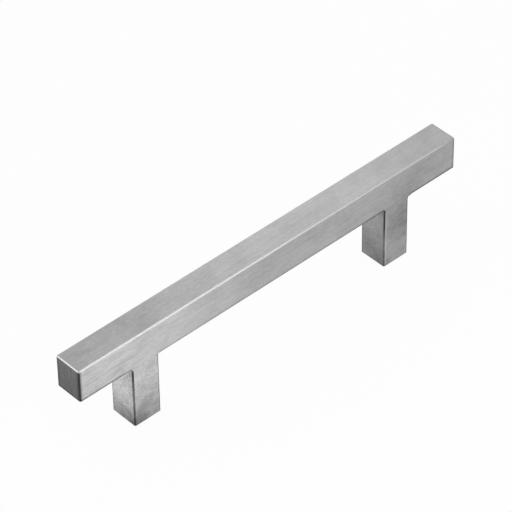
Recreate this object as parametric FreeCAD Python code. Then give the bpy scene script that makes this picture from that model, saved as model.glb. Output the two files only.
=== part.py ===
"""T bar cabinet pull in brushed steel.

A solid bar of rectangular section lies across two square posts. Each post butts against the underside
of the bar, flush with its front and back faces. The bar's lower edges are eased only between and beyond
the posts, so that just a hairline seam shows where they meet.
A headless threaded stud inside the joint holds each post to the bar. The foot of each post is tapped
for the screw that comes through the door or drawer front from behind.

Frame: +X runs along the bar, +Y points to its back and +Z away from the door. The origin is on the
plane of the two feet, midway between the posts. Sizes are in millimetres and angles in degrees.
The fine threads are left out of the solids: studs and tapped holes are plain, at the thread's size.
"""

import FreeCAD, Part
import math
import os

# Bar
END_OVERHANG = 23.4
BAR_WIDTH = 9.5
BAR_HEIGHT = 11.2
BAR_EDGE_RADIUS = 0.6
UNDERSIDE_EDGE_RADIUS = 0.28

# Posts
HOLE_SPACING = 96.0
POST_WIDTH = 9.5
POST_HEIGHT = 21.8
POST_EDGE_RADIUS = 0.5
FOOT_CHAMFER = 0.25
ROOT_RADIUS = 1.3
ROOT_SWEEP = 70.0

# Holes for the screws that come through the door
SCREW_DIAMETER = 4.0
SCREW_HOLE_DEPTH = 11.0

# Every tapped hole
DRILL_POINT_ANGLE = 118.0
HOLE_MOUTH_CHAMFER = 0.4
THREAD_CLEARANCE = 0.03

# Joining studs
STUD_DIAMETER = 5.0
STUD_LENGTH = 10.0
STUD_IN_BAR = 5.0
STUD_END_GAP = 0.4
STUD_END_CHAMFER = 0.5
SOCKET_SIDES = 6
SOCKET_ACROSS_FLATS = 2.5
SOCKET_DEPTH = 2.5

# How far a cutting tool reaches past the face it cuts, and how close counts as the same place
TOOL_OVERSHOOT = 1.0
SAME_PLACE = 0.001

bar_length = HOLE_SPACING + 2 * END_OVERHANG
stud_hole_radius = STUD_DIAMETER / 2
stud_radius = stud_hole_radius - THREAD_CLEARANCE
stud_in_post = STUD_LENGTH - STUD_IN_BAR
root_reach = ROOT_RADIUS * (1 - math.cos(math.radians(ROOT_SWEEP)))
left_post_x = -HOLE_SPACING / 2
right_post_x = HOLE_SPACING / 2

X_AXIS = FreeCAD.Vector(1, 0, 0)
Z_AXIS = FreeCAD.Vector(0, 0, 1)
ORIGIN = FreeCAD.Vector(0, 0, 0)
FULL_TURN = 360
HALF_TURN = 180


def turned(outline):
    """The solid turned about Z by an outline of (radius, height) points that starts and ends on the axis."""
    points = [FreeCAD.Vector(radius, 0, height) for radius, height in outline]
    face = Part.Face(Part.makePolygon(points + points[:1]))
    return face.revolve(ORIGIN, Z_AXIS, FULL_TURN)


def edges_at_height(shape, height):
    """The edges that lie wholly in the level plane at that height."""
    def level(edge):
        box = edge.BoundBox
        return abs(box.ZMin - height) < SAME_PLACE and abs(box.ZMax - height) < SAME_PLACE
    return [edge for edge in shape.Edges if level(edge)]


def is_upright(edge):
    """True for an edge that climbs while it stays in a front or back face."""
    return edge.BoundBox.YLength < SAME_PLACE and edge.BoundBox.ZLength > SAME_PLACE


def drilled_hole(radius, depth):
    """The space of a tapped blind hole that runs up from a mouth at the origin, with its drill point."""
    tip = radius / math.tan(math.radians(DRILL_POINT_ANGLE / 2))
    wide = radius + HOLE_MOUTH_CHAMFER
    return turned([
        (0, -TOOL_OVERSHOOT),
        (wide, -TOOL_OVERSHOOT),
        (wide, 0),
        (radius, HOLE_MOUTH_CHAMFER),
        (radius, depth),
        (0, depth + tip),
    ])


def joint_land(post_x):
    """The square-edged stretch of the bar's underside that a post and its root stand against."""
    root_side = 0 if post_x > 0 else root_reach
    corner = FreeCAD.Vector(post_x - POST_WIDTH / 2 - root_side, -BAR_WIDTH / 2, POST_HEIGHT)
    return Part.makeBox(POST_WIDTH + root_reach, BAR_WIDTH, UNDERSIDE_EDGE_RADIUS, corner)


def bar():
    """The grip, with eased edges that are left square over each post, and a blind tapped hole there."""
    corner = FreeCAD.Vector(-bar_length / 2, -BAR_WIDTH / 2, POST_HEIGHT)
    stock = Part.makeBox(bar_length, BAR_WIDTH, BAR_HEIGHT, corner)
    underside = edges_at_height(stock, POST_HEIGHT)
    upper = [edge for edge in stock.Edges if not any(edge.isSame(low) for low in underside)]
    eased = stock.makeFillet(BAR_EDGE_RADIUS, upper)
    eased = eased.makeFillet(UNDERSIDE_EDGE_RADIUS, edges_at_height(eased, POST_HEIGHT))
    grip = eased.fuse([joint_land(left_post_x), joint_land(right_post_x)]).removeSplitter()
    for post_x in (left_post_x, right_post_x):
        hole = drilled_hole(stud_hole_radius, STUD_IN_BAR + STUD_END_GAP)
        hole.translate(FreeCAD.Vector(post_x, 0, POST_HEIGHT))
        grip = grip.cut(hole)
    return grip


def post_blank():
    """A post standing on the origin, with eased uprights and a small concave root at the top of its +X side.

    The root is an arc that swings out from the side and meets the bar's underside at a shallow angle,
    so that its tip keeps some thickness.
    """
    half = POST_WIDTH / 2
    front = -BAR_WIDTH / 2
    sweep = math.radians(ROOT_SWEEP)
    centre_x = half + ROOT_RADIUS
    centre_z = POST_HEIGHT - ROOT_RADIUS * math.sin(sweep)

    def on_root(angle):
        x = centre_x - ROOT_RADIUS * math.cos(angle)
        z = centre_z + ROOT_RADIUS * math.sin(angle)
        return FreeCAD.Vector(x, front, z)

    foot_inner = FreeCAD.Vector(-half, front, 0)
    foot_outer = FreeCAD.Vector(half, front, 0)
    head_inner = FreeCAD.Vector(-half, front, POST_HEIGHT)
    outline = Part.Wire([
        Part.makeLine(head_inner, foot_inner),
        Part.makeLine(foot_inner, foot_outer),
        Part.makeLine(foot_outer, on_root(0)),
        Part.Arc(on_root(0), on_root(sweep / 2), on_root(sweep)).toShape(),
        Part.makeLine(on_root(sweep), head_inner),
    ])
    blank = Part.Face(outline).extrude(FreeCAD.Vector(0, BAR_WIDTH, 0))
    return blank.makeFillet(POST_EDGE_RADIUS, [edge for edge in blank.Edges if is_upright(edge)])


def post(post_x):
    """A finished post: root towards the bar's end, foot tapped for the door screw, head tapped for the stud."""
    shape = post_blank()
    if post_x < 0:
        shape = shape.mirror(ORIGIN, X_AXIS)
    shape = shape.makeChamfer(FOOT_CHAMFER, edges_at_height(shape, 0))
    screw_hole = drilled_hole(SCREW_DIAMETER / 2, SCREW_HOLE_DEPTH)
    stud_hole = drilled_hole(stud_hole_radius, stud_in_post + STUD_END_GAP)
    stud_hole.rotate(ORIGIN, X_AXIS, HALF_TURN)
    stud_hole.translate(Z_AXIS * POST_HEIGHT)
    shape = shape.cut(screw_hole).cut(stud_hole)
    shape.translate(X_AXIS * post_x)
    return shape


def stud(post_x):
    """A headless stud across the seam, its hexagon socket facing down into the post."""
    chamfered = stud_radius - STUD_END_CHAMFER
    shank = turned([
        (0, 0),
        (chamfered, 0),
        (stud_radius, STUD_END_CHAMFER),
        (stud_radius, STUD_LENGTH - STUD_END_CHAMFER),
        (chamfered, STUD_LENGTH),
        (0, STUD_LENGTH),
    ])
    corner_radius = SOCKET_ACROSS_FLATS / 2 / math.cos(math.pi / SOCKET_SIDES)
    corners = []
    for corner in range(SOCKET_SIDES + 1):
        angle = math.tau * corner / SOCKET_SIDES
        x = corner_radius * math.cos(angle)
        y = corner_radius * math.sin(angle)
        corners.append(FreeCAD.Vector(x, y, 0))
    socket = Part.Face(Part.makePolygon(corners)).extrude(Z_AXIS * SOCKET_DEPTH)
    shape = shank.cut(socket)
    shape.translate(FreeCAD.Vector(post_x, 0, POST_HEIGHT - stud_in_post))
    return shape


def pull():
    """Every piece of the pull by the name of its node."""
    pieces = {"bar": bar()}
    for side, post_x in (("left", left_post_x), ("right", right_post_x)):
        pieces[side + "_post"] = post(post_x)
        pieces[side + "_stud"] = stud(post_x)
    return pieces


def main():
    os.makedirs("parts", exist_ok=True)
    for name, shape in pull().items():
        shape.exportStep(os.path.join("parts", name + ".step"))


main()
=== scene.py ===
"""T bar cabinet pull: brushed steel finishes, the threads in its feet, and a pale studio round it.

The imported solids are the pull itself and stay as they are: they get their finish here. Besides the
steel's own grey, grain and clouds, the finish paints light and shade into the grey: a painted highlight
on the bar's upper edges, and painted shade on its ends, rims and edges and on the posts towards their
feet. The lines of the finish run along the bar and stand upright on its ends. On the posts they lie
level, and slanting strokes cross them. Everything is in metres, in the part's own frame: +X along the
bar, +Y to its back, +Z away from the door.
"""

import math

import bpy
from mathutils import Matrix, Vector


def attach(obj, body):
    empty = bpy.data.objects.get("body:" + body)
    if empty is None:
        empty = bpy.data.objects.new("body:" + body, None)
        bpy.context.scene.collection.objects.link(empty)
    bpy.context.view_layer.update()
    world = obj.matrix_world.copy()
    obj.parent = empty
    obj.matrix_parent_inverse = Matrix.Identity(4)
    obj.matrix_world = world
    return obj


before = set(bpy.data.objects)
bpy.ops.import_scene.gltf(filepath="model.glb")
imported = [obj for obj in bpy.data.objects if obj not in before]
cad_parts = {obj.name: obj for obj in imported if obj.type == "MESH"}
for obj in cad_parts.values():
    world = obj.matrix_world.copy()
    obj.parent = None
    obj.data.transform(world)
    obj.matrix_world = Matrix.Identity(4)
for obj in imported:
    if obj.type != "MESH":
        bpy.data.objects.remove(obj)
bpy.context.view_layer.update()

MM = 0.001

# Thread in the foot of each post, for an M4 screw, and the countersink that runs it out
HOLE_X = {"left": -48.0 * MM, "right": 48.0 * MM}
THREAD_PITCH = 0.7 * MM
THREAD_TURNS = 14
THREAD_STEPS = 48
THREAD_START = 0.1 * MM
THREAD_CREST_RADIUS = 1.65 * MM
THREAD_ROOT_RADIUS = 2.03 * MM
THREAD_CREST_WIDTH = 0.18 * MM
THREAD_ROOT_WIDTH = 0.60 * MM
THREAD_SMOOTH_ANGLE = 35.0
MOUTH_RADIUS = 2.4 * MM
MOUTH_DEPTH = 1.0 * MM
MOUTH_STEPS = 96

# Brushing: how much the lines are drawn out each way, and how far they wander
BAR_RUN = (0.03, 1.0, 1.0)
BAR_SHORT_RUN = (0.25, 1.22, 1.22)
BAND_RUN = (0.08, 0.45, 0.45)
END_RUN = (1.0, 1.0, 0.08)
END_SHORT_RUN = (0.65, 0.65, 0.12)
LEVEL_RUN = (0.06, 0.06, 0.75)
LEVEL_SHORT_RUN = (0.14, 0.14, 0.85)
STROKE_RUN = (0.08, 0.65, 0.65)
STROKE_SHORT_RUN = (0.12, 0.65, 0.65)
STROKE_WAY = Vector((0.45, 0.55, -0.70))
TAP_RUN = (0.15, 0.15, 1.0)
SWAY_SCALE = 160.0
BAR_SWAY = 0.25 * MM
POST_SWAY = 0.9 * MM

# The lines' four finenesses, as noise scales, and their shares in the light and dark and in the depth
BROAD_SCALE = 1300.0
FINE_SCALE = 4200.0
SHORT_SCALE = 2600.0
HAIR_SCALE = 12000.0
BROAD_SHARE = 0.15
FINE_SHARE = 0.35
SHORT_SHARE = 0.50
FINE_DEPTH = 0.6
HAIR_DEPTH = 0.4
LINE_DETAIL = 2.0
LINE_GRIT = 0.6
SHORT_GRIT = 0.65

# Clouds, and soft spots used for painted shade and highlights. A range says where a change starts and
# where it is complete, here and below.
CLOUD_DETAIL = 3.0
CLOUD_GRIT = 0.55
CLOUD_DISTORTION = 0.6
CLOUD_RANGE = (0.42, 0.72)
SPOT_SWAY_SCALE = 420.0
SPOT_SWAY = 1.1
SPOT_RANGE = (0.1, 1.0)

# Eased edges: how far they turn from the nearest axis, how they lean, and where three faces meet
EDGE_RANGE = (0.001, 0.02)
CROWN_RANGE = (0.02, 0.10)
LEAN_RANGE = (0.05, 0.3)
TIP_RANGE = (0.1, 0.35)

# How squarely a surface has to face along an axis to count as a flat face, a bar end's upper edge,
# a bar end's upright edge, a post's side, or the half of a post's upright edge that takes painted shade
FACE_TURN = (0.8, 0.99)
END_CROWN_TURN = (0.2, 0.5)
END_EDGE_TURN = (0.05, 0.5)
SIDE_TURN = (0.3, 0.9)
DARK_HALF_TURN = (0.12, 0.32)

# Finish of the bar, as linear greys and as shares by which a place is darker. Besides the grain and
# clouds, these paint shade and a highlight, as noted below. A place is given by its distance along the
# bar (X), across it (Y), or beside the named place.
BAR_FACE = 0.398
# Painted shade: the end faces get a darker grey, a little lighter towards their top
BAR_END = {"Low": 25.0 * MM, "High": 32.0 * MM, "At_Low": 0.160, "At_High": 0.20}
BAR_STREAK = 0.16
BAR_END_STREAK = 0.27
BAR_STREAK_RANGE = (0.35, 0.65)
BAR_LEFT_BAND = 0.11
BAR_BAND = 0.04
BAR_BAND_RANGE = (0.38, 0.62)
BAR_LEFT_BAND_X = (-58.0 * MM, -46.0 * MM)
BAR_CLOUD = 0.13
BAR_CLOUD_SCALE = 75.0
# Spots of painted shade on the bar, as (centre, reach, share)
BAR_SHADE_SPOTS = [
    ((52.0 * MM, -4.75 * MM, 23.5 * MM), 8.0 * MM, 0.16),
    ((-46.0 * MM, 0.5 * MM, 33.0 * MM), 7.0 * MM, 0.08),
    ((-64.0 * MM, 0.0 * MM, 33.0 * MM), 16.0 * MM, 0.06),
]
# Painted shade in a band along the bar's lower edges: stronger towards the right and at the free ends,
# and over each post only a faint dark line at the joint
BAR_RIM = 0.40
BAR_RIM_HEIGHTS = {"Low": 21.8 * MM, "High": 22.8 * MM, "At_Low": 1.0, "At_High": 0.0}
BAR_OUTER_RIM = 0.95
BAR_OUTER_RIM_X = (53.0 * MM, 57.0 * MM)
BAR_RIGHT_RIM_X = (28.0 * MM, 38.0 * MM)
BAR_SEAM = 0.10
BAR_BESIDE_SEAM = (4.9 * MM, 5.1 * MM)
# Painted shade: a dark outline round the rims of each end face, the last of the front and back faces
# before each end, and the middle of the front and back faces
BAR_END_OUTLINE = 0.4
BAR_END_OUTLINE_Y = (3.2 * MM, 4.1 * MM)
BAR_LAST = 0.50
BAR_LAST_X = (70.2 * MM, 71.0 * MM)
BAR_MIDDLE = 0.10
BAR_MIDDLE_X = -10.0 * MM
BAR_BESIDE_MIDDLE = (4.0 * MM, 34.0 * MM)
# Painted highlight: the upper edges get a lighter grey that changes along the bar, lightest on the upper
# edges of the ends and only a little lighter on the right end
BAR_RIDGE_LEFT = 0.56
BAR_RIDGE = 0.635
BAR_RIDGE_LEFT_X = (-45.0 * MM, 0.0)
BAR_RIDGE_RIGHT = 0.46
BAR_RIDGE_RIGHT_X = (64.0 * MM, 70.5 * MM)
BAR_END_RIDGE = 0.76
BAR_FAR_RIDGE = 0.24
BAR_RIDGE_ROUGHNESS = 0.54
# Painted shade: near black on the bar ends' upright edges and on its lower edges
BAR_CORNER = 0.05

# Finish of both posts. Several of these paint light or shade, as noted below.
POST_CLOUD = 0.14
POST_CLOUD_SCALE = 260.0
POST_STREAK_RANGE = (0.37, 0.63)
STROKE_SHARE = 0.5
# POST_HEAD is painted light on the posts' sides at the top, and POST_FOOT_LINE a line of painted shade at
# the foot
POST_HEAD = {"Low": 14.0 * MM, "High": 21.0 * MM, "At_Low": 1.0}
POST_FOOT_LINE = {"Low": 0.2 * MM, "High": 0.9 * MM, "At_Low": 0.74, "At_High": 1.0}
POST_HALF = 4.75 * MM
# How far the painted shade at a post's rims reaches, and the width of the painted highlight beside the
# front left edge
POST_RIM_WIDTH = 0.75 * MM
POST_GLINT_WIDTH = 1.3 * MM
# Painted shade: the grey of the upright edges and of the lower edges, with a painted highlight in the
# middle of the front left upright edge
POST_EDGE = 0.06
POST_EDGE_GLINT = 0.19
POST_EDGE_GLINT_REACH = 9.0 * MM
POST_UNDER = 0.10

# Finish of each post. face is its grey, set darker on the right post as painted shade; glint how much
# brighter its front is beside the left edge, a painted highlight; head the factor on its sides at the
# top, painted light;
# rim how much darker its faces are at their rims, painted shade; and streaks how far the brushing swings
# them.
# side and front say how the grey changes with height, as painted shade that is mostly darker towards the
# foot;
# the spots, given as (centre, reach, share), are painted shade; and the last entry is the centre of the
# painted highlight in the middle of the front left edge.
POSTS = {
    "left": {
        "face": 0.43,
        "glint": 0.10,
        "head": 1.33,
        "rim": 0.50,
        "streaks": {"front": 0.28, "side": 0.41},
        "side": {"Low": 1.0 * MM, "High": 9.0 * MM, "At_Low": 0.66, "At_High": 1.07},
        "front": {"Low": 2.0 * MM, "High": 16.0 * MM, "At_Low": 0.60, "At_High": 0.91},
        "shade_spots": [
            ((-52.75 * MM, 0.8 * MM, 2.4 * MM), 3.4 * MM, 0.25),
            ((-52.75 * MM, -3.4 * MM, 0.8 * MM), 5.5 * MM, 0.48),
            ((-48.4 * MM, -4.75 * MM, 6.6 * MM), 3.2 * MM, 0.20),
            ((-50.8 * MM, -4.75 * MM, 1.5 * MM), 6.0 * MM, 0.22),
        ],
        "edge_glint": (-52.75 * MM, -4.75 * MM, 11.0 * MM),
    },
    "right": {
        "face": 0.39,
        "glint": 0.36,
        "head": 1.0,
        "rim": 0.72,
        "streaks": {"front": 0.20, "side": 0.27},
        "side": {"Low": 7.0 * MM, "High": 19.0 * MM, "At_Low": 0.60, "At_High": 0.94},
        "front": {"Low": 5.0 * MM, "High": 15.0 * MM, "At_Low": 0.93, "At_High": 0.87},
        "shade_spots": [
            ((51.6 * MM, -4.75 * MM, 13.8 * MM), 8.5 * MM, 0.30),
            ((43.25 * MM, 2.5 * MM, 4.0 * MM), 5.0 * MM, 0.10),
            ((43.25 * MM, -3.2 * MM, 0.5 * MM), 5.0 * MM, 0.35),
        ],
        "edge_glint": (43.25 * MM, -4.75 * MM, 8.0 * MM),
    },
}

# Steel of every piece: how its lines scatter light, from smooth to rough, and how deep they look
LINE_RANGE = (0.3, 0.7)
BRUSHED_ROUGHNESS = (0.38, 0.46)
ANISOTROPY = 0.95
LINE_BUMP = 0.2
LINE_DEPTH = 0.01 * MM
STUD_STREAK_RANGE = (0.35, 0.65)
STUD_TONE = (0.27, 0.33)
STUD_ROUGHNESS = (0.3, 0.42)
TAPPED_TONE = (0.34, 0.5)
TAPPED_ROUGHNESS = (0.25, 0.4)
TAPPED_BUMP = 0.3

# Camera, as the photograph was taken. Angles are in degrees, the lens and its sensor in millimetres.
CAMERA_AZIMUTH = -42.15
CAMERA_ELEVATION = 41.70
CAMERA_ROLL = -0.89
CAMERA_DISTANCE = 0.937
CAMERA_TARGET = Vector((-2.49 * MM, 0.0, 29.47 * MM))
CAMERA_LENS = 236.2
CAMERA_CLIP = (0.05, 20.0)
SENSOR_WIDTH = 36.0

# Studio: a white floor, a soft sky, and lamps for the front faces, the top, the edges and the left faces
WHITE = (1.0, 1.0, 1.0, 1.0)
FLOOR_SIZE = 6.0
FLOOR_GREY = 0.85
FLOOR_GLOW = 0.955
SKY_LIGHT = 0.6
SOFTBOXES = {
    "front_strip": {"aim": (-0.09, 0.0, 0.025), "direction": (0.50, -0.80, 0.33), "distance": 0.45,
                    "width": 0.10, "height": 0.3, "radiance": 5.3},
    "top_strip": {"aim": (0.035, 0.0, 0.033), "direction": (0.50, 0.55, 0.66), "distance": 0.45,
                  "width": 0.10, "height": 0.2, "radiance": 1.9},
    "edge_box": {"aim": (0.0, 0.0, 0.02), "direction": (-0.2, -1.0, 0.25), "distance": 0.5,
                 "width": 0.35, "height": 0.2, "radiance": 2.5},
    "left_box": {"aim": (-0.071, 0.0, 0.033), "direction": (-0.74, 0.55, 0.38), "distance": 0.3,
                 "width": 0.18, "height": 0.18, "radiance": 2.5},
}

X_AXIS = (1.0, 0.0, 0.0)
NOISE_MEAN = (0.5, 0.5, 0.5)


def clear_selection():
    """Deselects everything, because operators act on all that is selected."""
    if bpy.context.object and bpy.context.object.mode != "OBJECT":
        bpy.ops.object.mode_set(mode="OBJECT")
    bpy.ops.object.select_all(action="DESELECT")


def grey(value):
    """A neutral colour of that linear value."""
    return (value, value, value, 1.0)


class Shading:
    """Adds and joins shader nodes in one tree, be it a material's, the world's or a group's."""

    def __init__(self, tree):
        self.tree = tree

    def add(self, kind, settings=None, **values):
        """A node of that kind. settings are its properties, and values fill its sockets by name."""
        node = self.tree.nodes.new(kind)
        for name, value in (settings or {}).items():
            setattr(node, name, value)
        for name, value in values.items():
            self.feed(node.inputs[name.replace("_", " ")], value)
        return node

    def feed(self, socket, value):
        """Joins an output to the socket, or sets the socket's own value."""
        if isinstance(value, bpy.types.NodeSocket):
            self.tree.links.new(value, socket)
        else:
            socket.default_value = value

    def use(self, group, **values):
        """The outputs of a node group that is placed with its own values."""
        return self.add("ShaderNodeGroup", {"node_tree": group}, **values).outputs

    def place(self):
        """The point that is shaded, in the part's own frame."""
        return self.add("ShaderNodeTexCoord").outputs["Object"]

    def normal(self):
        """The way that the surface faces."""
        return self.add("ShaderNodeNewGeometry").outputs["Normal"]

    def math(self, operation, *values):
        node = self.add("ShaderNodeMath", {"operation": operation})
        for socket, value in zip(node.inputs, values):
            self.feed(socket, value)
        return node.outputs[0]

    def vector(self, operation, first, second):
        node = self.add("ShaderNodeVectorMath", {"operation": operation})
        self.feed(node.inputs[0], first)
        self.feed(node.inputs[1], second)
        return node.outputs[0]

    def split(self, vector):
        """The X, Y and Z of a vector."""
        return tuple(self.add("ShaderNodeSeparateXYZ", Vector=vector).outputs)

    def ramp(self, value, low, high, to_low=0.0, to_high=1.0):
        """The value moved from the range low to high onto another range, and held inside it."""
        node = self.add("ShaderNodeMapRange", {"clamp": True}, Value=value, From_Min=low,
                        From_Max=high, To_Min=to_low, To_Max=to_high)
        return node.outputs[0]

    def swing(self, value, low, high, amount):
        """A factor that rises from amount below 1 to amount above 1, as the value goes low to high."""
        return self.ramp(value, low, high, self.math("SUBTRACT", 1.0, amount),
                         self.math("ADD", 1.0, amount))

    def blend(self, share, first, second):
        """The first value, turning into the second where share goes from 0 to 1."""
        node = self.add("ShaderNodeMix", {"data_type": "FLOAT"})
        self.feed(node.inputs[0], share)
        self.feed(node.inputs[2], first)
        self.feed(node.inputs[3], second)
        return node.outputs[0]

    def blend_shaders(self, share, first, second):
        """The first shader, turning into the second where share goes from 0 to 1."""
        node = self.add("ShaderNodeMixShader")
        for socket, value in zip(node.inputs, (share, first, second)):
            self.feed(socket, value)
        return node.outputs[0]

    def darkened(self, tone, share):
        """The tone with that share taken off."""
        return self.math("MULTIPLY", tone, self.math("SUBTRACT", 1.0, share))

    def shaded_by_spots(self, tone, group, place, shade_spots):
        """The tone darkened by spots of painted shade, each given as (centre, reach, share)."""
        for centre, reach, share in shade_spots:
            painted_spot = self.use(group, Vector=place, Centre=centre, Reach=reach, Amount=share)
            tone = self.darkened(tone, painted_spot["Value"])
        return tone

    def noise(self, vector, scale, detail, roughness, distortion=0.0):
        node = self.add("ShaderNodeTexNoise", Vector=vector, Scale=scale, Detail=detail,
                        Roughness=roughness, Distortion=distortion)
        return node.outputs[0]

    def swayed(self, vector, scale, amount):
        """The vector moved about by up to half the amount, so that a pattern on it wanders."""
        noise = self.add("ShaderNodeTexNoise", Vector=vector, Scale=scale, Detail=1.0, Roughness=0.5)
        centred = self.vector("SUBTRACT", noise.outputs["Color"], NOISE_MEAN)
        scaled = self.add("ShaderNodeVectorMath", {"operation": "SCALE"}, Vector=centred, Scale=amount)
        return self.vector("ADD", vector, scaled.outputs[0])


def new_group(name, inputs, outputs):
    """An empty shader node group with those sockets, and its drawing helper, entry and exit."""
    group = bpy.data.node_groups.new(name, "ShaderNodeTree")
    for socket_name, kind, value in inputs:
        socket = group.interface.new_socket(socket_name, in_out="INPUT", socket_type=kind)
        if value is not None:
            socket.default_value = value
    for socket_name, kind in outputs:
        group.interface.new_socket(socket_name, in_out="OUTPUT", socket_type=kind)
    draw = Shading(group)
    entry = draw.add("NodeGroupInput")
    leave = draw.add("NodeGroupOutput")
    return group, draw, entry.outputs, leave.inputs


def make_brushed_lines():
    """Fine lines of a brushed finish. Value is their light and dark about 0.5, Height their depth."""
    group, draw, given, out = new_group(
        "brushed_lines",
        [("Vector", "NodeSocketVector", None), ("Run", "NodeSocketVector", BAR_RUN),
         ("Short Run", "NodeSocketVector", BAR_SHORT_RUN), ("Sway", "NodeSocketFloat", BAR_SWAY)],
        [("Value", "NodeSocketFloat"), ("Height", "NodeSocketFloat")])
    swayed = draw.swayed(given["Vector"], SWAY_SCALE, given["Sway"])
    long_run = draw.vector("MULTIPLY", swayed, given["Run"])
    short_run = draw.vector("MULTIPLY", swayed, given["Short Run"])
    broad = draw.noise(long_run, BROAD_SCALE, LINE_DETAIL, LINE_GRIT)
    fine = draw.noise(long_run, FINE_SCALE, LINE_DETAIL, LINE_GRIT)
    short = draw.noise(short_run, SHORT_SCALE, LINE_DETAIL, SHORT_GRIT)
    hair = draw.noise(long_run, HAIR_SCALE, LINE_DETAIL, LINE_GRIT)
    value = draw.math("ADD", draw.math("MULTIPLY", broad, BROAD_SHARE),
                      draw.math("MULTIPLY", fine, FINE_SHARE))
    draw.feed(out["Value"], draw.math("ADD", value, draw.math("MULTIPLY", short, SHORT_SHARE)))
    height = draw.math("ADD", draw.math("MULTIPLY", fine, FINE_DEPTH),
                       draw.math("MULTIPLY", hair, HAIR_DEPTH))
    draw.feed(out["Height"], height)
    return group


def make_clouding():
    """Soft clouds where the brushing went over unevenly. Value is Amount in the middle of a cloud."""
    group, draw, given, out = new_group(
        "clouding",
        [("Vector", "NodeSocketVector", None), ("Scale", "NodeSocketFloat", BAR_CLOUD_SCALE),
         ("Amount", "NodeSocketFloat", BAR_CLOUD)],
        [("Value", "NodeSocketFloat")])
    clouds = draw.noise(given["Vector"], given["Scale"], CLOUD_DETAIL, CLOUD_GRIT, CLOUD_DISTORTION)
    middle = draw.ramp(clouds, *CLOUD_RANGE)
    draw.feed(out["Value"], draw.math("MULTIPLY", middle, given["Amount"]))
    return group


def make_painted_spot():
    """One soft uneven spot about a point, used for painted shade and highlights. Value falls from Amount
    at Centre to nothing at Reach.
    """
    group, draw, given, out = new_group(
        "painted_spot",
        [("Vector", "NodeSocketVector", None), ("Centre", "NodeSocketVector", None),
         ("Reach", "NodeSocketFloat", POST_EDGE_GLINT_REACH), ("Amount", "NodeSocketFloat", 1.0)],
        [("Value", "NodeSocketFloat")])
    sway = draw.math("MULTIPLY", given["Reach"], SPOT_SWAY)
    swayed = draw.swayed(given["Vector"], SPOT_SWAY_SCALE, sway)
    offset = draw.vector("SUBTRACT", swayed, given["Centre"])
    length = draw.add("ShaderNodeVectorMath", {"operation": "LENGTH"}, Vector=offset)
    distance = draw.math("DIVIDE", length.outputs["Value"], given["Reach"])
    near = draw.ramp(distance, *SPOT_RANGE, 1.0, 0.0)
    draw.feed(out["Value"], draw.math("MULTIPLY", near, given["Amount"]))
    return group


def make_height_fade():
    """A value that changes with height: At Low up to the height Low, and At High from the height High."""
    group, draw, given, out = new_group(
        "height_fade",
        [("Vector", "NodeSocketVector", None), ("Low", "NodeSocketFloat", 0.0),
         ("High", "NodeSocketFloat", MM), ("At Low", "NodeSocketFloat", 0.0),
         ("At High", "NodeSocketFloat", 1.0)],
        [("Value", "NodeSocketFloat")])
    height = draw.split(given["Vector"])[2]
    faded = draw.ramp(height, given["Low"], given["High"], given["At Low"], given["At High"])
    draw.feed(out["Value"], faded)
    return group


def make_eased_edges():
    """Finds the eased edges by the way they face: Upper face up, Upright sideways and Under down."""
    group, draw, given, out = new_group(
        "eased_edges",
        [("Normal", "NodeSocketVector", None)],
        [("Upper", "NodeSocketFloat"), ("Upright", "NodeSocketFloat"), ("Under", "NodeSocketFloat")])
    parts = draw.split(given["Normal"])
    x, y, z = (draw.math("ABSOLUTE", part) for part in parts)
    most = draw.math("MAXIMUM", draw.math("MAXIMUM", x, y), z)
    least = draw.math("MINIMUM", draw.math("MINIMUM", x, y), z)
    turned = draw.math("SUBTRACT", 1.0, most)
    edge = draw.ramp(turned, *EDGE_RANGE)
    crown = draw.ramp(turned, *CROWN_RANGE)
    upward = draw.ramp(parts[2], *LEAN_RANGE)
    downward = draw.ramp(parts[2], *(-lean for lean in LEAN_RANGE))
    plain = draw.ramp(least, *TIP_RANGE, 1.0, 0.0)
    draw.feed(out["Upper"], draw.math("MULTIPLY", draw.math("MULTIPLY", crown, upward), plain))
    draw.feed(out["Under"], draw.math("MULTIPLY", edge, downward))
    level = draw.math("SUBTRACT", 1.0, draw.math("ADD", upward, downward))
    draw.feed(out["Upright"], draw.math("MULTIPLY", edge, level))
    return group


def new_material(name):
    """A material with an empty tree, its drawing helper and the socket that takes its surface."""
    material = bpy.data.materials.new(name)
    material.use_nodes = True
    material.node_tree.nodes.clear()
    draw = Shading(material.node_tree)
    output = draw.add("ShaderNodeOutputMaterial")
    return material, draw, output.inputs["Surface"]


def across_bar_lines(draw, normal):
    """The direction across the bar's lines, in which they scatter light widest. On its ends it is +Y."""
    across = draw.vector("CROSS_PRODUCT", normal, X_AXIS)
    endward = draw.math("ABSOLUTE", draw.split(normal)[0])
    on_ends = draw.add("ShaderNodeCombineXYZ", Y=endward)
    return draw.vector("ADD", across, on_ends.outputs[0])


def across_level_lines(draw, normal):
    """The direction across level lines, which is up. On level faces it is +X."""
    levelness = draw.math("ABSOLUTE", draw.split(normal)[2])
    return draw.add("ShaderNodeCombineXYZ", X=levelness, Z=1.0).outputs[0]


def metal(draw, tone, rough, height, bump=LINE_BUMP, **sheen):
    """A metal of that tone, roughness and depth of lines. sheen is how it scatters light unevenly."""
    base = draw.add("ShaderNodeCombineColor", Red=tone, Green=tone, Blue=tone).outputs[0]
    bumped = draw.add("ShaderNodeBump", Height=height, Strength=bump, Distance=LINE_DEPTH)
    steel = draw.add("ShaderNodeBsdfPrincipled", Base_Color=base, Metallic=1.0, Roughness=rough,
                     Normal=bumped.outputs[0], **sheen)
    return steel.outputs[0]


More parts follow.
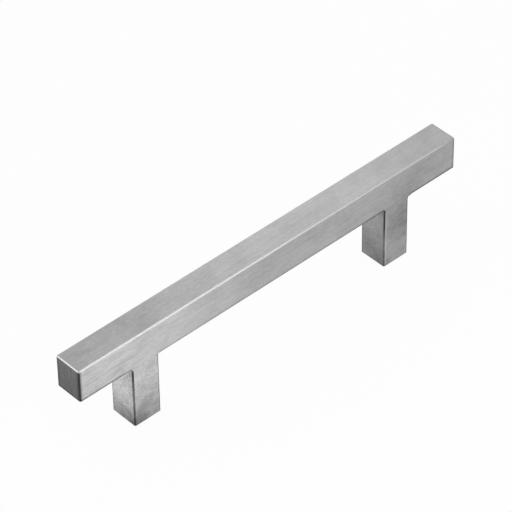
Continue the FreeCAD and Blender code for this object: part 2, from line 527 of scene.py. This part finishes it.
def bar_grain(draw, groups, place, lines, end, front):
    """The factor by which the bar's lines, bands and clouds lighten or darken it."""
    along = draw.split(place)[0]
    end_lines = draw.use(groups["lines"], Vector=place, Run=END_RUN, Short_Run=END_SHORT_RUN,
                         Sway=BAR_SWAY)
    grain = draw.blend(end, lines["Value"], end_lines["Value"])
    streak = draw.swing(grain, *BAR_STREAK_RANGE, draw.blend(end, BAR_STREAK, BAR_END_STREAK))
    bands = draw.use(groups["lines"], Vector=place, Run=BAR_RUN, Short_Run=BAND_RUN, Sway=BAR_SWAY)
    band_swing = draw.ramp(along, *BAR_LEFT_BAND_X, BAR_LEFT_BAND, BAR_BAND)
    band = draw.swing(bands["Value"], *BAR_BAND_RANGE, draw.math("MULTIPLY", front, band_swing))
    clouds = draw.use(groups["clouds"], Vector=place, Scale=BAR_CLOUD_SCALE, Amount=BAR_CLOUD)
    return draw.darkened(draw.math("MULTIPLY", streak, band), clouds["Value"])


def bar_shaded(draw, groups, place, tone, end, front):
    """Painted shade: the tone darkened along the bar's lower edges, with only a faint joint line over the
    posts, round its ends and in the middle of its front.
    """
    along, across, _ = draw.split(place)
    away = draw.math("ABSOLUTE", along)
    rim = draw.use(groups["fade"], Vector=place, **BAR_RIM_HEIGHTS)["Value"]
    free_rim = draw.math("MAXIMUM", draw.ramp(away, *BAR_OUTER_RIM_X, BAR_RIM, BAR_OUTER_RIM),
                         draw.ramp(along, *BAR_RIGHT_RIM_X, BAR_RIM, BAR_OUTER_RIM))
    beside_post = draw.math("ABSOLUTE", draw.math("SUBTRACT", away, HOLE_X["right"]))
    rim_share = draw.ramp(beside_post, *BAR_BESIDE_SEAM, BAR_SEAM, free_rim)
    tone = draw.darkened(tone, draw.math("MULTIPLY", rim, rim_share))
    outline = draw.ramp(draw.math("ABSOLUTE", across), *BAR_END_OUTLINE_Y, 0.0, BAR_END_OUTLINE)
    tone = draw.darkened(tone, draw.math("MULTIPLY", outline, end))
    last = draw.ramp(away, *BAR_LAST_X, 0.0, BAR_LAST)
    tone = draw.darkened(tone, draw.math("MULTIPLY", last, front))
    beside_middle = draw.math("ABSOLUTE", draw.math("SUBTRACT", along, BAR_MIDDLE_X))
    middle = draw.ramp(beside_middle, *BAR_BESIDE_MIDDLE, BAR_MIDDLE, 0.0)
    return draw.darkened(tone, draw.math("MULTIPLY", middle, front))


def bar_edged(draw, place, normal, edges, tone):
    """The tone with a painted highlight along the bar's upper edges, and painted shade on its upright end
    edges and lower edges.
    """
    along = draw.split(place)[0]
    rightward = draw.split(normal)[0]
    endward = draw.math("ABSOLUTE", rightward)
    ridge = draw.ramp(along, *BAR_RIDGE_LEFT_X, BAR_RIDGE_LEFT, BAR_RIDGE)
    ridge = draw.blend(draw.ramp(along, *BAR_RIDGE_RIGHT_X), ridge, BAR_RIDGE_RIGHT)
    ridge = draw.blend(draw.ramp(endward, *END_CROWN_TURN), ridge, BAR_END_RIDGE)
    ridge = draw.blend(draw.ramp(rightward, *END_CROWN_TURN), ridge, BAR_FAR_RIDGE)
    tone = draw.blend(edges["Upper"], tone, ridge)
    corner = draw.math("MULTIPLY", edges["Upright"], draw.ramp(endward, *END_EDGE_TURN))
    tone = draw.blend(corner, tone, BAR_CORNER)
    return draw.blend(edges["Under"], tone, BAR_CORNER)


def bar_steel(groups):
    """The bar: lines along it, a painted highlight on its upper edges, painted shade on its ends, and a
    painted dark line along its lower edges.
    """
    material, draw, surface = new_material("bar_steel")
    place, normal = draw.place(), draw.normal()
    endward, frontward, _ = (draw.math("ABSOLUTE", part) for part in draw.split(normal))
    end = draw.ramp(endward, *FACE_TURN)
    front = draw.ramp(frontward, *FACE_TURN)
    edges = draw.use(groups["edges"], Normal=normal)
    lines = draw.use(groups["lines"], Vector=place, Run=BAR_RUN, Sway=BAR_SWAY)
    # Painted shade: the ends get a darker grey
    end_tone = draw.use(groups["fade"], Vector=place, **BAR_END)["Value"]
    tone = draw.math("MULTIPLY", draw.blend(end, BAR_FACE, end_tone),
                     bar_grain(draw, groups, place, lines, end, front))
    # Spots of painted shade
    tone = draw.shaded_by_spots(tone, groups["painted_spot"], place, BAR_SHADE_SPOTS)
    tone = bar_shaded(draw, groups, place, tone, end, front)
    tone = bar_edged(draw, place, normal, edges, tone)
    rough = draw.ramp(lines["Value"], *LINE_RANGE, *BRUSHED_ROUGHNESS)
    rough = draw.blend(edges["Upper"], rough, BAR_RIDGE_ROUGHNESS)
    draw.feed(surface, metal(draw, tone, rough, lines["Height"], Anisotropic=ANISOTROPY,
                             Tangent=across_bar_lines(draw, normal)))
    return material


def post_grain(draw, groups, place):
    """The posts' level lines crossed by slanting strokes: their light and dark, and their depth."""
    lines = draw.use(groups["lines"], Vector=place, Run=LEVEL_RUN, Short_Run=LEVEL_SHORT_RUN,
                     Sway=POST_SWAY)
    turn = STROKE_WAY.rotation_difference(Vector(X_AXIS)).to_euler()
    turned = draw.add("ShaderNodeMapping", Vector=place, Rotation=turn).outputs[0]
    strokes = draw.use(groups["lines"], Vector=turned, Run=STROKE_RUN, Short_Run=STROKE_SHORT_RUN,
                       Sway=POST_SWAY)
    return (draw.blend(STROKE_SHARE, lines["Value"], strokes["Value"]),
            draw.blend(STROKE_SHARE, lines["Height"], strokes["Height"]))


def post_shade(draw, groups, place, sideways, post):
    """The painted light and shade by which a post's faces change with height: mostly darker towards the
    foot, a dark line at the foot, and lighter sides at the top where head is above 1.
    """
    fade = groups["fade"]
    shade = draw.blend(sideways, draw.use(fade, Vector=place, **post["front"])["Value"],
                       draw.use(fade, Vector=place, **post["side"])["Value"])
    head = draw.use(fade, Vector=place, At_High=post["head"], **POST_HEAD)["Value"]
    shade = draw.math("MULTIPLY", shade, draw.blend(sideways, 1.0, head))
    foot_line = draw.use(fade, Vector=place, **POST_FOOT_LINE)["Value"]
    return draw.math("MULTIPLY", shade, foot_line)


def post_edged(draw, groups, side, place, normal, sideways, tone):
    """The tone with a post's painted shade at its rims, a painted highlight beside its front left edge,
    and painted shade on its upright and lower edges.
    """
    post = POSTS[side]
    x, y, _ = draw.split(place)
    along = draw.math("SUBTRACT", x, HOLE_X[side])
    aside = draw.blend(sideways, along, draw.math("ABSOLUTE", y))
    rim = draw.ramp(aside, POST_HALF - POST_RIM_WIDTH, POST_HALF, 0.0, post["rim"])
    tone = draw.darkened(tone, rim)
    glint = draw.ramp(along, -POST_HALF, POST_GLINT_WIDTH - POST_HALF, post["glint"], 0.0)
    glint = draw.math("MULTIPLY", glint, draw.math("SUBTRACT", 1.0, sideways))
    tone = draw.math("MULTIPLY", tone, draw.math("ADD", 1.0, glint))
    # Painted highlight in the middle of the front left upright edge
    edge_glint_spot = draw.use(groups["painted_spot"], Vector=place, Centre=post["edge_glint"],
                    Reach=POST_EDGE_GLINT_REACH, Amount=1.0)
    edge_tone = draw.blend(edge_glint_spot["Value"], POST_EDGE, POST_EDGE_GLINT)
    edges = draw.use(groups["edges"], Normal=normal)
    # Painted shade on the half of each upright edge that faces sideways
    dark_half = draw.ramp(draw.math("ABSOLUTE", draw.split(normal)[0]), *DARK_HALF_TURN)
    tone = draw.blend(draw.math("MULTIPLY", edges["Upright"], dark_half), tone, edge_tone)
    return draw.blend(edges["Under"], tone, POST_UNDER)


def post_steel(side, groups):
    """A post: crossed lines, clouds, painted shade mostly darker towards the foot, and painted shade on
    its upright edges.
    """
    post = POSTS[side]
    material, draw, surface = new_material(side + "_post_steel")
    place, normal = draw.place(), draw.normal()
    sideways = draw.ramp(draw.math("ABSOLUTE", draw.split(normal)[0]), *SIDE_TURN)
    grain, height = post_grain(draw, groups, place)
    swing = draw.blend(sideways, post["streaks"]["front"], post["streaks"]["side"])
    tone = draw.math("MULTIPLY", draw.swing(grain, *POST_STREAK_RANGE, swing), post["face"])
    tone = draw.math("MULTIPLY", tone, post_shade(draw, groups, place, sideways, post))
    clouds = draw.use(groups["clouds"], Vector=place, Scale=POST_CLOUD_SCALE, Amount=POST_CLOUD)
    tone = draw.darkened(tone, clouds["Value"])
    # Spots of painted shade
    tone = draw.shaded_by_spots(tone, groups["painted_spot"], place, post["shade_spots"])
    tone = post_edged(draw, groups, side, place, normal, sideways, tone)
    rough = draw.ramp(grain, *LINE_RANGE, *BRUSHED_ROUGHNESS)
    draw.feed(surface, metal(draw, tone, rough, height, Anisotropic=ANISOTROPY,
                             Tangent=across_level_lines(draw, normal)))
    return material


def stud_steel(groups):
    """The joining studs inside the joint: plain turned steel, with level rings."""
    material, draw, surface = new_material("stud_steel")
    rings = draw.use(groups["lines"], Vector=draw.place(), Run=LEVEL_RUN,
                     Short_Run=LEVEL_SHORT_RUN, Sway=0.0)
    tone = draw.ramp(rings["Value"], *STUD_STREAK_RANGE, *STUD_TONE)
    rough = draw.ramp(rings["Value"], *LINE_RANGE, *STUD_ROUGHNESS)
    draw.feed(surface, metal(draw, tone, rough, rings["Height"], Anisotropic=ANISOTROPY,
                             Tangent=across_level_lines(draw, draw.normal())))
    return material


def tapped_steel(groups):
    """Freshly cut steel inside the screw holes: brighter than the faces, with the tap's fine rings."""
    material, draw, surface = new_material("tapped_steel")
    rings = draw.use(groups["lines"], Vector=draw.place(), Run=TAP_RUN,
                     Short_Run=LEVEL_SHORT_RUN, Sway=0.0)
    tone = draw.ramp(rings["Value"], *LINE_RANGE, *TAPPED_TONE)
    rough = draw.ramp(rings["Value"], *LINE_RANGE, *TAPPED_ROUGHNESS)
    draw.feed(surface, metal(draw, tone, rough, rings["Height"], TAPPED_BUMP))
    return material


def dress_pull(groups):
    """Gives every node of the pull its finish."""
    def dress(node, material):
        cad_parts[node].data.materials[0] = material

    dress("bar", bar_steel(groups))
    stud_finish = stud_steel(groups)
    for side in POSTS:
        dress(side + "_post", post_steel(side, groups))
        dress(side + "_stud", stud_finish)


def shape_verts(piece, places):
    """Moves the piece's vertices, in their order, to those places."""
    for vertex, place in zip(piece.data.vertices, places):
        vertex.co = place


def make_mouth_cutter(post_x):
    """The countersink at the mouth of a screw hole, as a blunt cone that reaches past the foot."""
    clear_selection()
    wide, narrow = MOUTH_RADIUS + MOUTH_DEPTH, MOUTH_RADIUS - MOUTH_DEPTH
    bpy.ops.mesh.primitive_cone_add(vertices=MOUTH_STEPS, radius1=wide, radius2=narrow,
                                    depth=2 * MOUTH_DEPTH, location=(post_x, 0.0, 0.0))
    cutter = bpy.context.object
    bpy.ops.object.transform_apply(location=True, rotation=True, scale=True)
    return cutter


def make_thread_coil(post_x):
    """The closed coil of the thread's ridge in one foot, turned from the outline of the ridge."""
    clear_selection()
    bpy.ops.mesh.primitive_plane_add(size=MM)
    coil = bpy.context.object
    crest, root = THREAD_CREST_RADIUS, THREAD_ROOT_RADIUS
    crest_half, root_half = THREAD_CREST_WIDTH / 2, THREAD_ROOT_WIDTH / 2
    outline = [(root, 0.0, -root_half), (crest, 0.0, -crest_half),
               (root, 0.0, root_half), (crest, 0.0, crest_half)]
    shape_verts(coil, outline)
    bpy.ops.object.mode_set(mode="EDIT")
    bpy.ops.mesh.select_all(action="SELECT")
    bpy.ops.mesh.delete(type="ONLY_FACE")
    bpy.ops.object.mode_set(mode="OBJECT")
    screw = coil.modifiers.new("screw", "SCREW")
    screw.axis = "Z"
    screw.angle = math.tau
    screw.screw_offset = THREAD_PITCH
    screw.iterations = THREAD_TURNS
    screw.steps = screw.render_steps = THREAD_STEPS
    screw.use_merge_vertices = True
    bpy.ops.object.modifier_apply(modifier=screw.name)
    bpy.ops.object.mode_set(mode="EDIT")
    bpy.ops.mesh.select_all(action="DESELECT")
    bpy.ops.mesh.select_non_manifold()
    bpy.ops.mesh.fill_holes(sides=len(outline))
    bpy.ops.mesh.select_all(action="SELECT")
    bpy.ops.transform.translate(value=(post_x, 0.0, THREAD_START))
    bpy.ops.mesh.normals_make_consistent(inside=False)
    bpy.ops.object.mode_set(mode="OBJECT")
    return coil


def make_thread(side, material):
    """The helical ridge of the thread in one foot, run out by the countersink at the hole's mouth."""
    thread = make_thread_coil(HOLE_X[side])
    thread.name = side + "_thread"
    thread.data.name = thread.name
    cutter = make_mouth_cutter(HOLE_X[side])
    bpy.context.view_layer.objects.active = thread
    run_out = thread.modifiers.new("run_out", "BOOLEAN")
    run_out.operation = "DIFFERENCE"
    run_out.object = cutter
    bpy.ops.object.modifier_apply(modifier=run_out.name)
    bpy.data.objects.remove(cutter)
    clear_selection()
    thread.select_set(True)
    bpy.context.view_layer.objects.active = thread
    bpy.ops.object.shade_smooth_by_angle(angle=math.radians(THREAD_SMOOTH_ANGLE))
    thread.data.materials.append(material)
    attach(thread, "root")


def seen_directly(draw):
    """1 for the camera and in reflections, and 0 for the light that a surface sends on to others."""
    path = draw.add("ShaderNodeLightPath")
    seen = draw.math("MAXIMUM", path.outputs["Is Camera Ray"], path.outputs["Is Glossy Ray"])
    return draw.math("MAXIMUM", seen, path.outputs["Is Transmission Ray"])


def make_floor():
    """A plain pale floor that keeps the pull's soft shadow, and can't be seen from below."""
    clear_selection()
    bpy.ops.mesh.primitive_plane_add(size=FLOOR_SIZE)
    floor = bpy.context.object
    floor.name = "floor"
    material, draw, surface = new_material("floor_paint")
    matt = draw.add("ShaderNodeBsdfDiffuse", Color=grey(FLOOR_GREY)).outputs[0]
    glow = draw.add("ShaderNodeEmission", Color=WHITE, Strength=1.0).outputs[0]
    glowing = draw.math("MULTIPLY", seen_directly(draw), FLOOR_GLOW)
    from_above = draw.blend_shaders(glowing, matt, glow)
    below = draw.add("ShaderNodeNewGeometry").outputs["Backfacing"]
    clear = draw.add("ShaderNodeBsdfTransparent").outputs[0]
    draw.feed(surface, draw.blend_shaders(below, from_above, clear))
    floor.data.materials.append(material)


def make_world():
    """A plain soft sky that shows as white."""
    world = bpy.data.worlds.new("studio")
    world.use_nodes = True
    bpy.context.scene.world = world
    world.node_tree.nodes.clear()
    draw = Shading(world.node_tree)
    level = draw.blend(seen_directly(draw), SKY_LIGHT, 1.0)
    sky = draw.add("ShaderNodeBackground", Color=WHITE, Strength=level)
    output = draw.add("ShaderNodeOutputWorld")
    draw.feed(output.inputs["Surface"], sky.outputs[0])


def make_softbox(name, aim, direction, distance, width, height, radiance):
    """A soft rectangular lamp that shines on aim from that direction. radiance is its brightness."""
    lamp = bpy.data.lights.new(name, "AREA")
    lamp.shape = "RECTANGLE"
    lamp.size = width
    lamp.size_y = height
    lamp.energy = radiance * math.pi * width * height
    holder = bpy.data.objects.new(name, lamp)
    bpy.context.scene.collection.objects.link(holder)
    towards = Vector(direction).normalized()
    holder.location = Vector(aim) + towards * distance
    holder.rotation_mode = "QUATERNION"
    holder.rotation_quaternion = towards.to_track_quat("Z", "Y")
    holder.visible_camera = False


def make_camera():
    """Looks at the pull from where the photograph was taken."""
    azimuth, elevation = math.radians(CAMERA_AZIMUTH), math.radians(CAMERA_ELEVATION)
    back = Vector((math.sin(azimuth) * math.cos(elevation), -math.cos(azimuth) * math.cos(elevation),
                   math.sin(elevation)))
    data = bpy.data.cameras.new("camera")
    data.lens = CAMERA_LENS
    data.sensor_width = SENSOR_WIDTH
    data.clip_start, data.clip_end = CAMERA_CLIP
    camera = bpy.data.objects.new("camera", data)
    bpy.context.scene.collection.objects.link(camera)
    camera.location = CAMERA_TARGET + back * CAMERA_DISTANCE
    camera.rotation_mode = "QUATERNION"
    turn = Matrix.Rotation(math.radians(CAMERA_ROLL), 3, "Z").to_quaternion()
    camera.rotation_quaternion = (-back).to_track_quat("-Z", "Y") @ turn
    bpy.context.scene.camera = camera


def main():
    bpy.context.scene.view_settings.view_transform = "Standard"
    groups = {"lines": make_brushed_lines(), "clouds": make_clouding(), "painted_spot": make_painted_spot(),
              "fade": make_height_fade(), "edges": make_eased_edges()}
    dress_pull(groups)
    tapped = tapped_steel(groups)
    for side in HOLE_X:
        make_thread(side, tapped)
    make_floor()
    make_world()
    for name, settings in SOFTBOXES.items():
        make_softbox(name, **settings)
    make_camera()


main()
